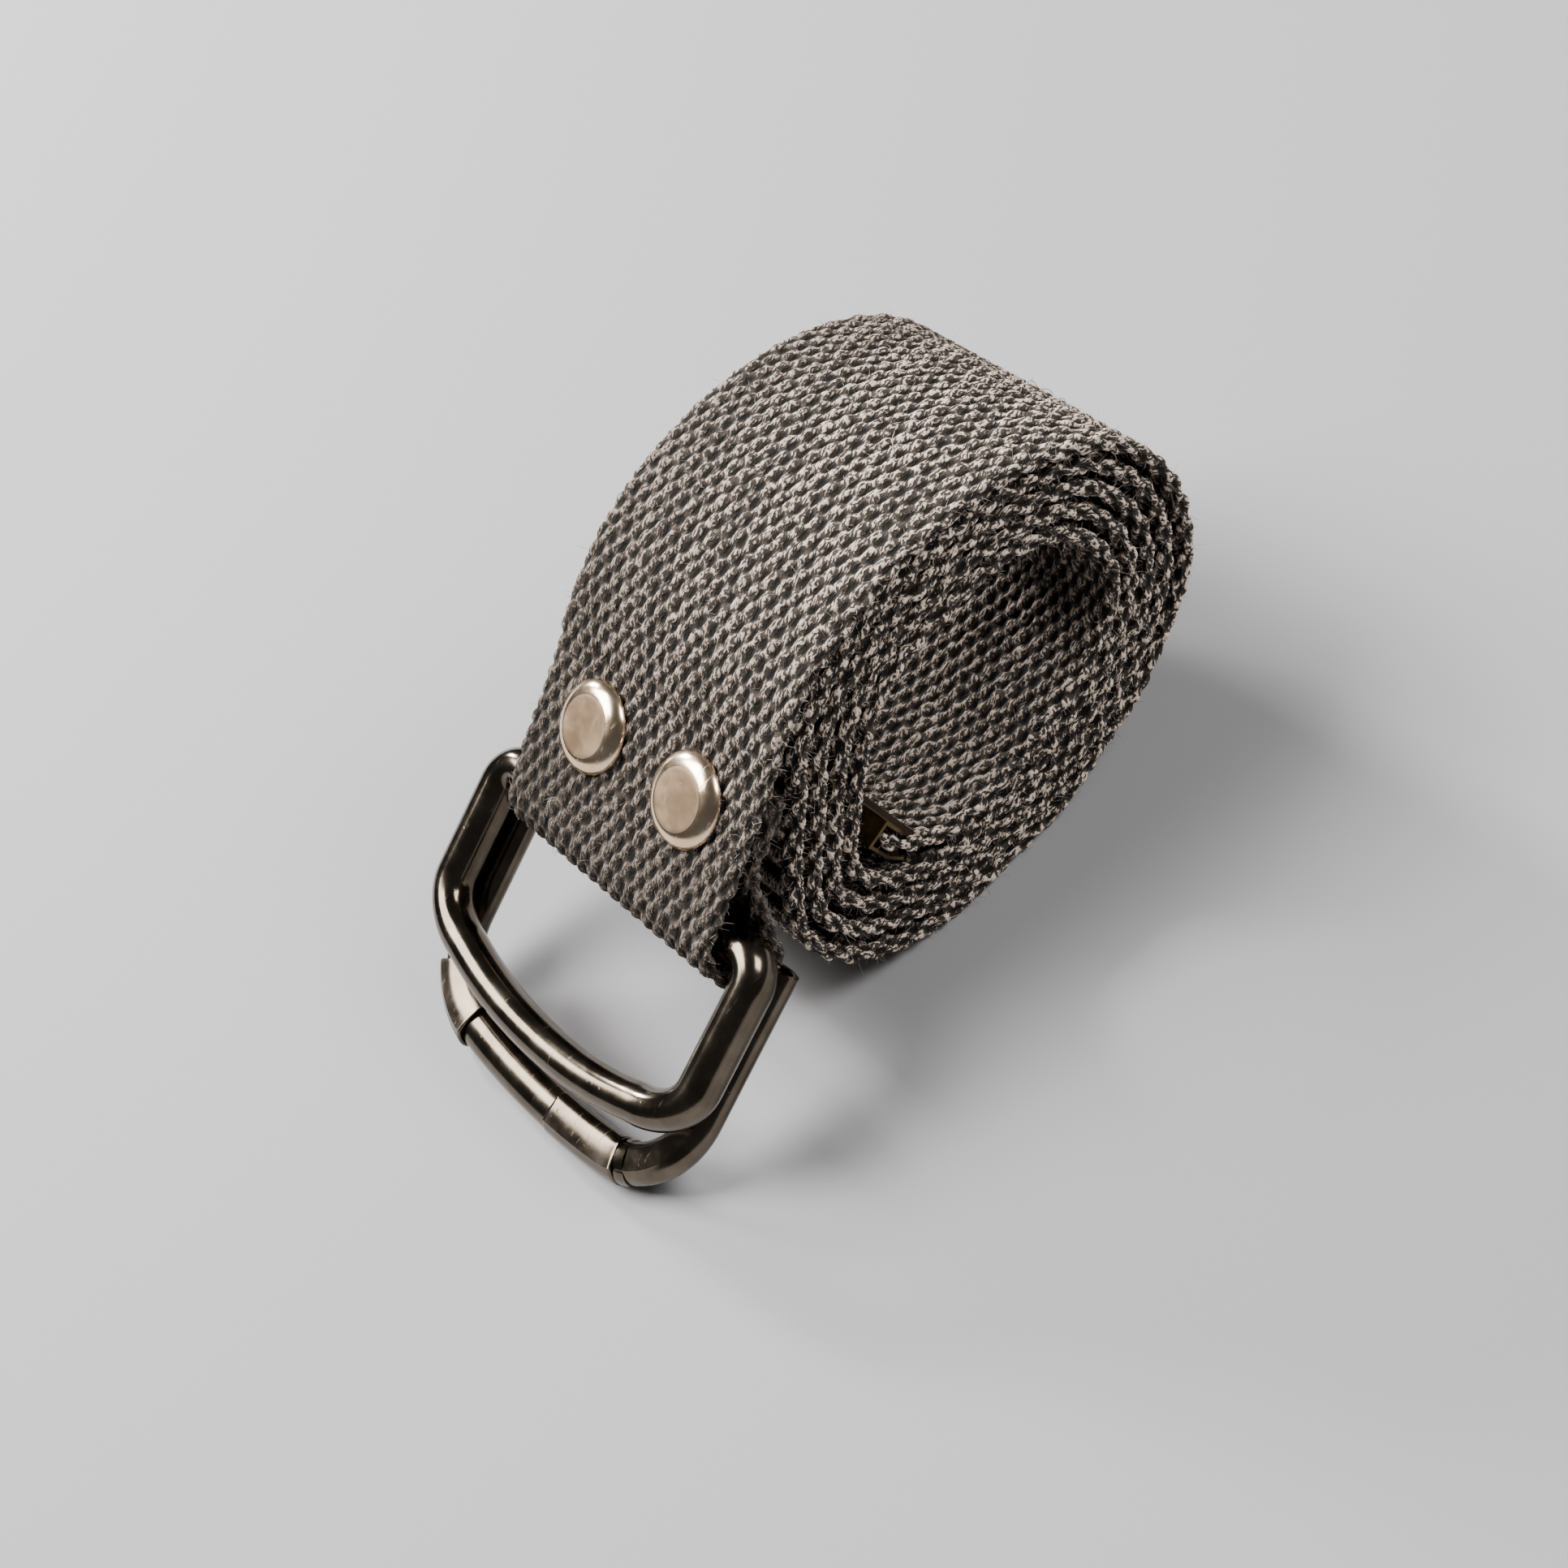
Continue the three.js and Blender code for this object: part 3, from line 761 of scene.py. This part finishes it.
def close_ends(obj):
    pick(obj)
    bpy.ops.object.mode_set(mode="EDIT")
    bpy.ops.mesh.select_all(action="DESELECT")
    bpy.ops.mesh.select_non_manifold()
    bpy.ops.mesh.edge_face_add()
    bpy.ops.object.mode_set(mode="OBJECT")


# %% Put together and in place
SMOOTH_TUBE = 35


def apply_modifier(obj, kind, **settings):
    pick(obj)
    modifier = obj.modifiers.new(kind.lower(), kind)
    for key, value in settings.items():
        setattr(modifier, key, value)
    bpy.ops.object.modifier_apply(modifier=modifier.name)


def join(pieces, name):
    clear_selection()
    for piece in pieces:
        piece.select_set(True)
    bpy.context.view_layer.objects.active = pieces[0]
    bpy.ops.object.join()
    pieces[0].name = name
    return pieces[0]


def into_buckle(obj, name):
    place = Matrix.Translation((rings_left - FRAME_ASIDE, BAR_LEAD, bar_spacing))
    obj.matrix_world = buckle_plane @ place
    settle(obj, name)
    smooth(obj, SMOOTH_TUBE)
    return obj


# %% Arms and bow
FRAME_WALL = 0.7 * MM
BOW_EXTRA = 0.2 * MM
BOW_OVERLAP = 1 * MM
LEFT_TUBE_END = -15.6 * MM
RIGHT_TUBE_END = 16 * MM
left_tube = frame_tube("left_tube", 0, along_at(LEFT_TUBE_END), tube_section(0))
right_tube = frame_tube("right_tube", along_at(RIGHT_TUBE_END), frame_walked[-1], tube_section(0))
for tube in (left_tube, right_tube):
    apply_modifier(tube, "SOLIDIFY", thickness=FRAME_WALL, offset=-1, use_even_offset=True)
back_arms = into_buckle(join([left_tube, right_tube], "arms"), "back_frame_arms")
bow_section = ellipse_points(FRAME_WIDTH + 2 * BOW_EXTRA, FRAME_DEPTH + BOW_EXTRA)
bow_bar = frame_tube("bow_bar", along_at(LEFT_TUBE_END - BOW_OVERLAP),
                     along_at(RIGHT_TUBE_END + BOW_OVERLAP), bow_section)
close_ends(bow_bar)
into_buckle(bow_bar, "back_frame_bow")
print("arms, mm:", [round(v / MM, 1) for v in back_arms.dimensions])

# %% [markdown]
# The sleeves
# Two short sleeves are wrapped round the bow and stand a little proud of it. They are the
# frame's tube again with a wider section. Their rims catch the light as thin bright lines, so
# their edges are bevelled.

# %% Sleeves
SLEEVE_WALL = 0.45 * MM
SLEEVE_BEVEL = 0.15 * MM


def sleeve(name, start, end, proud):
    obj = frame_tube(name, along_at(start), along_at(end), tube_section(proud))
    apply_modifier(obj, "SOLIDIFY", thickness=SLEEVE_WALL, offset=-1, use_even_offset=True)
    apply_modifier(obj, "BEVEL", width=SLEEVE_BEVEL, segments=2, limit_method="ANGLE",
                   angle_limit=math.radians(60))
    return into_buckle(obj, name)


left_tab = sleeve("left_sleeve", -21.2 * MM, -14 * MM, 0.75 * MM)
right_tab = sleeve("right_sleeve", 3.6 * MM, 15.6 * MM, 0.35 * MM)
print("sleeves:", len(left_tab.data.polygons), len(right_tab.data.polygons), "faces")

# %% [markdown]
# The rivets
# A rivet's cap is a shallow dome with a flat middle and a quickly rounded rim, on a post that
# ends in a small cap behind the webbing. It could be built from a sphere and cylinders, but a
# turned part is drawn best as half of its section, spun round. It is then leaned with the
# webbing that it holds.

# %% Rivet's section
RIVET_CAP = 10.7 * MM
RIVET_POST = 2.6 * MM
RIVET_BACK = 5.2 * MM
RIVET_BACK_HEIGHT = 0.6 * MM
RIVET_SLACK = 0.55 * MM
CAP_ROWS = [(0, 1.5), (0.35, 1.5), (0.58, 1.49), (0.66, 1.5), (0.73, 1.44), (0.8, 1.29),
            (0.87, 1.07), (0.93, 0.8), (0.97, 0.52), (0.995, 0.26), (1, 0.08), (0.975, -0.05)]
back_at = -2 * STRAP_THICKNESS - RIVET_SLACK
rivet_rows = [(share * RIVET_CAP / 2, height * MM) for share, height in CAP_ROWS]
rivet_rows += [(RIVET_POST / 2, 0), (RIVET_POST / 2, back_at), (RIVET_BACK / 2, back_at),
               (RIVET_BACK / 2, back_at - RIVET_BACK_HEIGHT), (0, back_at - RIVET_BACK_HEIGHT)]


def spun(name, rows, steps=64):
    mesh = bpy.data.meshes.new(name)
    chain = [(i, i + 1) for i in range(len(rows) - 1)]
    mesh.from_pydata([(radius, 0, height) for radius, height in rows], chain, [])
    obj = pick(place_new(name, mesh))
    bpy.ops.object.mode_set(mode="EDIT")
    bpy.ops.mesh.select_all(action="SELECT")
    bpy.ops.mesh.spin(steps=steps, angle=2 * math.pi, center=(0, 0, 0), axis=(0, 0, 1))
    point_outwards()
    return obj


# %% Rivets
RIVET_SHIFT = 0.5 * MM
RIVET_STRETCH = (30 * MM, 80 * MM)
SMOOTH_RIVET = 40


def nearest_along(node):
    points = np.array([vertex.co for vertex in frame["nodes"][node].data.vertices])
    target = points[:, 1:].mean(axis=0)
    along = np.arange(*RIVET_STRETCH, 0.05 * MM)
    place, outside = on_line(along)
    best = int(np.argmin(np.linalg.norm(place - target, axis=1)))
    return place[best], outside[best], along[best]


rivets = []
rivet_tops = {}
for node, name in (("rivet_left", "left_rivet_cap"), ("rivet_right", "right_rivet_cap")):
    place, outside, along = nearest_along(node)
    low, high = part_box(node)
    foot = place + outside * STRAP_THICKNESS / 2
    piece = spun(name, rivet_rows)
    lean = Vector((0, *outside)).to_track_quat("Z", "X").to_matrix().to_4x4()
    piece.matrix_world = Matrix.Translation(((low.x + high.x) / 2 + RIVET_SHIFT, *foot)) @ lean
    rivet_tops[name] = piece.matrix_world @ Vector((0, 0, rivet_rows[0][1]))
    settle(piece, name)
    smooth(piece, SMOOTH_RIVET)
    rivets.append(piece)
    print(name, "stands", round(along / MM, 1), "mm along the webbing")

# %% [markdown]
# Node helpers
# A shader's sums read better as sums. The class below holds one socket of a material and adds
# a Math node for each operator, and the class after it adds any other node.


# %% Helpers for materials
class Value:
    def __init__(self, nodes, socket):
        self.nodes = nodes
        self.socket = socket

    def math(self, operation, other):
        node = self.nodes.add("ShaderNodeMath", operation=operation, inputs={0: self, 1: other})
        return Value(self.nodes, node.outputs[0])

    def __add__(self, other):
        return self.math("ADD", other)

    __radd__ = __add__

    def __mul__(self, other):
        return self.math("MULTIPLY", other)

    __rmul__ = __mul__

    def __sub__(self, other):
        return self.math("SUBTRACT", other)

    def __rsub__(self, other):
        return (self * -1) + other

    def clamp(self):
        return self.math("MINIMUM", 1).math("MAXIMUM", 0)

    def step(self, low, high):
        node = self.nodes.add("ShaderNodeMapRange", interpolation_type="SMOOTHSTEP",
                              inputs={"Value": self, "From Min": low, "From Max": high})
        return Value(self.nodes, node.outputs["Result"])


class Nodes:
    def __init__(self, name):
        self.material = bpy.data.materials.new(name)
        self.material.use_nodes = True
        self.tree = self.material.node_tree
        self.shader = self.tree.nodes["Principled BSDF"]

    def link(self, source, target):
        self.tree.links.new(source, target)

    def add(self, kind, inputs=None, **settings):
        node = self.tree.nodes.new(kind)
        for key, value in settings.items():
            setattr(node, key, value)
        self.fill(node, inputs or {})
        return node

    def fill(self, node, inputs):
        for key, value in inputs.items():
            if isinstance(value, Value):
                self.link(value.socket, node.inputs[key])
            elif isinstance(value, bpy.types.NodeSocket):
                self.link(value, node.inputs[key])
            else:
                node.inputs[key].default_value = value

    def value(self, node, output=0):
        return Value(self, node.outputs[output])

    def mix(self, factor, first, second):
        node = self.add("ShaderNodeMix", data_type="RGBA")
        self.fill(node, {0: factor, 6: first, 7: second})
        return node.outputs[2]

    def noise(self, place, scale, **inputs):
        return self.value(self.add("ShaderNodeTexNoise", inputs={
            "Vector": place, "Scale": scale, **inputs}))

    def finish(self, **inputs):
        self.fill(self.shader, {key.replace("_", " "): value for key, value in inputs.items()})
        return self.material


def colour(red, green, blue):
    return (red, green, blue, 1)


# %% [markdown]
# Webbing finish
# Close up, each yarn is a dark twist with pale fibres on it that run along the yarn and lean
# with its twist. A picture of cloth would repeat, so the fibres are noise drawn out one way.
# The webbing's own map, in metres round and along, carries them round the roll, and the height
# of the yarns, kept with the mesh, puts painted shade in the hollows between the yarns. Painted
# shade also darkens the fold at the ring, the left part of the outer face and the inner face.


# %% Webbing finish
def webbing_noise(n, x, y, z, detail=2.0, roughness=0.55):
    place = n.add("ShaderNodeCombineXYZ", inputs={0: x, 1: y, 2: z}).outputs[0]
    return n.noise(place, 1.0, Detail=detail, Roughness=roughness)


def webbing_finish():
    n = Nodes("dark_webbing")
    flat = n.add("ShaderNodeUVMap", uv_map="weave")
    parts = n.add("ShaderNodeSeparateXYZ", inputs={0: flat.outputs[0]})
    across, along = n.value(parts, 0), n.value(parts, 1)
    bump = n.value(n.add("ShaderNodeAttribute", attribute_name="bump"), "Fac")

    # Fibres drawn out along the yarn, tangled a little, and wide patches of wear
    warp = webbing_noise(n, across * 900, along * 900, 3.0)
    lean = across + along * 0.15 + warp * 0.0009
    fibre = webbing_noise(n, lean * 3700, along * 1300, 0.0, 1.0, 0.5)
    tangle = webbing_noise(n, across * 4300, along * 3300, 7.0, 2.0, 0.6)
    worn = webbing_noise(n, across * 85, along * 60, 5.0)
    yarn = webbing_noise(n, across * 480, along * 520, 9.0, 1.0)

    # Where the fibres gather they are pale. Painted shade keeps the pale off the hollows between
    # the yarns and makes the dark colour darkest there, so the tops of the yarns look lit
    mixed = fibre * 0.75 + tangle * 0.25 + bump * 0.12 + yarn * 0.1 + worn * 0.08 - 0.15
    streak = mixed.step(0.515, 0.585)
    lit = streak * bump.step(0.1, 0.7)
    shade = n.mix(bump.step(0.0, 0.6), colour(0.004, 0.003, 0.002), colour(0.045, 0.036, 0.029))

    # Painted shade: the fold at the ring, the left part of the outer face and the inner face are
    # made less pale than the front
    fold_painted_shade = along.step(0.03, 0.105) * 0.84 + 0.16
    # Painted shade on the left part of the outer face
    left = across.step(-0.002, 0.02) * 0.45 + 0.55
    # Painted shade on the inner face
    inside = across.step(face_run + edge_run, face_run + edge_run + 0.001) * -0.4 + 1
    base = n.mix((lit * fold_painted_shade * left * inside).clamp(), shade, colour(0.80, 0.66, 0.55))
    bumped = n.add("ShaderNodeBump", inputs={"Height": mixed, "Strength": 1.0,
                                             "Distance": 0.0006})
    return n.finish(Base_Color=base, Roughness=0.85, Normal=bumped.outputs[0],
                    Specular_IOR_Level=0.3)


webbing_material = webbing_finish()
print(webbing_material.name, "nodes:", len(webbing_material.node_tree.nodes))

# %% [markdown]
# Hair finish
# The loose hairs are ends of cotton that have lost more or less of their dye, so they are pale
# and dark grey. One colour would make them look like wire, so a noise about a millimetre wide
# gives each of them a shade of its own.


# %% Hair finish
def hair_finish():
    n = Nodes("pale_fibre")
    place = n.add("ShaderNodeTexCoord").outputs["Object"]
    patch = n.noise(place, 900.0, Detail=1.0)
    base = n.mix(patch.step(0.35, 0.65), colour(0.10, 0.085, 0.075), colour(0.55, 0.49, 0.45))
    return n.finish(Base_Color=base, Roughness=0.8)


hair_material = hair_finish()
print(hair_material.name, "nodes:", len(hair_material.node_tree.nodes))

# %% [markdown]
# Metal finishes
# The buckle is plated in a dark brown gunmetal that is nearly a mirror, so its colour comes
# from what it reflects. Fine scratches and small pits from wear break the gloss a little. The
# rivets are a pale gold, and the flat middle of each cap is rubbed dull, with a darker gold
# painted on as shade, which leaves a bright shoulder round it as a painted highlight. The
# strap's tip is dark brass. All of them are one function with other colours, because it is
# the wear that they share.


# %% Metal finishes
def metal_finish(name, dark, light, roughness, scratch, pits):
    n = Nodes(name)
    place = n.add("ShaderNodeTexCoord").outputs["Object"]
    turned = n.add("ShaderNodeMapping", inputs={"Vector": place, "Rotation": (0.5, 0.3, 0.9),
                                                "Scale": (3000.0, 180.0, 900.0)})
    cloud = n.noise(place, 260.0, Detail=3.0, Roughness=0.6)
    scratches = n.noise(turned.outputs[0], 1.0, Detail=2.0).step(0.66, 0.74)
    pitted = n.noise(place, 1500.0, Detail=2.0).step(0.68, 0.76)
    base = n.mix(cloud.step(0.35, 0.7), dark, light)
    rough = cloud.step(0.3, 0.8) * 0.1 + roughness + scratches * scratch
    height = scratches * -0.4 + pitted * -pits + cloud * 0.5
    bumped = n.add("ShaderNodeBump", inputs={"Height": height, "Strength": 0.12,
                                             "Distance": 0.0001})
    return n.finish(Base_Color=base, Metallic=1.0, Roughness=rough.clamp(),
                    Normal=bumped.outputs[0])


gunmetal = metal_finish("gunmetal_plating", colour(0.095, 0.077, 0.058),
                        colour(0.135, 0.112, 0.086), 0.12, 0.12, 0.6)
# The rivets' two golds: the pale one on the shoulders is partly a painted highlight, and the darker
# rubbed one in the middles is partly painted shade
pale_gold = metal_finish("pale_gold_plating", colour(0.78, 0.58, 0.38),
                         colour(0.92, 0.74, 0.55), 0.15, 0.15, 1.0)
rubbed_gold_painted_shade = metal_finish("rubbed_gold_painted_shade", colour(0.36, 0.25, 0.155),
                           colour(0.46, 0.33, 0.22), 0.36, 0.1, 1.0)
brass = metal_finish("brass_tip", colour(0.06, 0.04, 0.02), colour(0.20, 0.14, 0.06), 0.3, 0.2, 1.0)
print("metals:", [metal.name for metal in (gunmetal, pale_gold, rubbed_gold_painted_shade, brass)])

# %% [markdown]
# Dressing the pieces
# Each piece gets its finish, and the back bar and the tip, which are shown as the model has
# them, get theirs too. A rivet has two: the faces near the top of its cap take the rubbed one,
# whose darker gold is painted shade.

# %% Dress the pieces
RUBBED_SHADED_SHARE = 0.33


def dress(obj, material):
    obj.data.materials.clear()
    obj.data.materials.append(material)


for piece in webbing_pieces:
    dress(piece, webbing_material)
for piece in [hairs] + loose_fibres:
    dress(piece, hair_material)
for piece in (front_ring, back_arms, bow_bar, left_tab, right_tab, frame["nodes"]["back_bar"]):
    dress(piece, gunmetal)
# Painted shade and highlight: the middle of each cap takes the darker rubbed gold, the shoulder the
# pale one
for piece in rivets:
    dress(piece, pale_gold)
    piece.data.materials.append(rubbed_gold_painted_shade)
    for face in piece.data.polygons:
        from_top = (Vector(face.center) - rivet_tops[piece.name]).length
        face.material_index = int(from_top < RUBBED_SHADED_SHARE * RIVET_CAP)
dress(frame["nodes"]["tail_tip"], brass)
rubbed_shaded_faces = sum(face.material_index for piece in rivets for face in piece.data.polygons)
print("rubbed faces on the rivets:", rubbed_shaded_faces)

# %% [markdown]
# What moves with what
# Each piece rides on the body of the solid that it stands for, so the two rings swing and the
# webbing with its rivets stays.

# %% Bodies and replaced solids
for piece in webbing_pieces + [hairs] + loose_fibres:
    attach(piece, "rolled_strap")
    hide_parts("strap")
for piece, node in zip(rivets, ("rivet_left", "rivet_right")):
    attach(piece, "rolled_strap")
    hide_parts(node)
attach(front_ring, "front_ring")
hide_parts("front_ring")
for piece, node in ((back_arms, "back_frame"), (bow_bar, "back_frame"), (left_tab, "left_tab"),
                    (right_tab, "right_tab")):
    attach(piece, "back_frame")
    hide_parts(node)

# %% [markdown]
# Floor and light
# The object is shown on a plain pale grey floor, and in the photograph its shadows fall to the
# right. A small low light far to the left draws those shadows, a wide one high on the left in
# front gives the metal its long highlights, and a weaker one behind on the right fills in. A
# dim, even sky keeps the shadows from going black.

# %% Floor
clear_selection()
bpy.ops.mesh.primitive_plane_add(size=3)
floor = bpy.context.object
floor.name = "floor"
dress(floor, Nodes("pale_floor").finish(Base_Color=colour(0.36, 0.36, 0.37), Roughness=0.85))

# %% Lights
LIT_PLACE = Vector((0, 0, 0.02))


def soft_light(name, place, size, power, tint):
    clear_selection()
    bpy.ops.object.light_add(type="AREA", location=place)
    light = bpy.context.object
    light.name = name
    light.rotation_euler = (LIT_PLACE - light.location).to_track_quat("-Z", "Y").to_euler()
    light.data.shape = "SQUARE"
    light.data.size = size
    light.data.energy = power
    light.data.color = tint
    print(name, "light, m away:", round((LIT_PLACE - light.location).length, 2))


soft_light("key", (-0.79, 0.07, 0.445), 0.13, 10.0, (1.0, 0.98, 0.96))
soft_light("main", (-0.38, -0.24, 0.66), 0.5, 17.0, (1.0, 0.97, 0.94))
soft_light("side", (0.42, 0.40, 0.56), 0.3, 5.0, (1.0, 0.98, 0.96))

# %% Sky
world = bpy.data.worlds.new("soft_room")
world.use_nodes = True
sky = world.node_tree.nodes["Background"].inputs
sky["Color"].default_value = colour(0.8, 0.82, 0.85)
sky["Strength"].default_value = 0.12
bpy.context.scene.world = world
